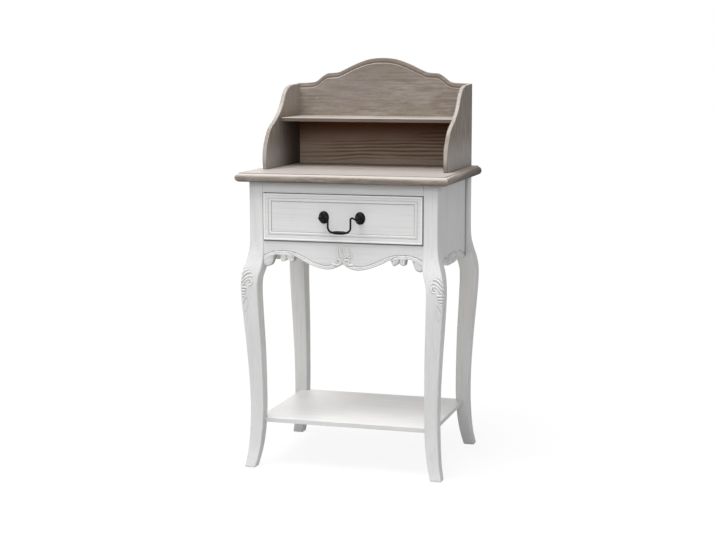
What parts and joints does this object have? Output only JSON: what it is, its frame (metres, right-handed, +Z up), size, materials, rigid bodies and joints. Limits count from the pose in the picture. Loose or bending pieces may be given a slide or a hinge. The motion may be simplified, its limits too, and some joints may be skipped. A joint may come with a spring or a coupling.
{
  "type": "bedside table",
  "caption": "Small bedside table on four cabriole legs, with one drawer, a low shelf, a scalloped carved apron and a shaped gallery with a small shelf above the top.",
  "frame": {"origin": "on the floor, under the middle of the table's whole box", "axes": "+Z up, the drawer opens towards -Y, +X to the right of someone facing the drawer"},
  "size_m": [0.449, 0.3524, 0.854],
  "materials": {
    "white_paint": "white chalky paint, lightly rubbed at the edges",
    "grey_wood": "grey-brown washed wood with open grain, matt",
    "bare_wood": "plain sanded pine",
    "black_iron": "blackened, slightly uneven",
    "steel": "zinc plated"
  },
  "bodies": {
    "case": {"front_left_leg": "white_paint", "front_right_leg": "white_paint", "rear_left_leg": "white_paint", "rear_right_leg": "white_paint", "front_top_rail": "white_paint", "front_apron": "white_paint", "left_side_panel": "white_paint", "right_side_panel": "white_paint", "back_panel": "white_paint", "front_bearer_rail": "bare_wood", "left_drawer_runner": "bare_wood", "right_drawer_runner": "bare_wood", "left_kicker": "bare_wood", "right_kicker": "bare_wood", "drawer_stops": "bare_wood", "corner_blocks": "bare_wood", "top_screws": "steel", "top_board": "grey_wood", "lower_shelf": "white_paint", "shelf_dowels": "bare_wood", "gallery_left_cheek": "grey_wood", "gallery_right_cheek": "grey_wood", "gallery_back_board": "grey_wood", "gallery_shelf": "grey_wood", "gallery_screws": "steel"},
    "drawer": {"drawer_front": "white_paint", "drawer_left_side": "bare_wood", "drawer_right_side": "bare_wood", "drawer_back": "bare_wood", "drawer_bottom": "bare_wood", "left_rosette": "black_iron", "right_rosette": "black_iron", "left_pull_post": "black_iron", "right_pull_post": "black_iron", "pull_nuts": "steel"},
    "bail": {"bail_handle": "black_iron"}
  },
  "joints": [
    {"name": "drawer_slide", "type": "slide", "parent": "case", "child": "drawer", "axis": [0, -1, 0], "range_m": [0, 0.2]},
    {"name": "bail_swing", "type": "hinge", "parent": "drawer", "child": "bail", "pos_m": [0, -0.1708, 0.53325], "axis": [-1, 0, 0], "range_deg": [-30, 205]}
  ]
}
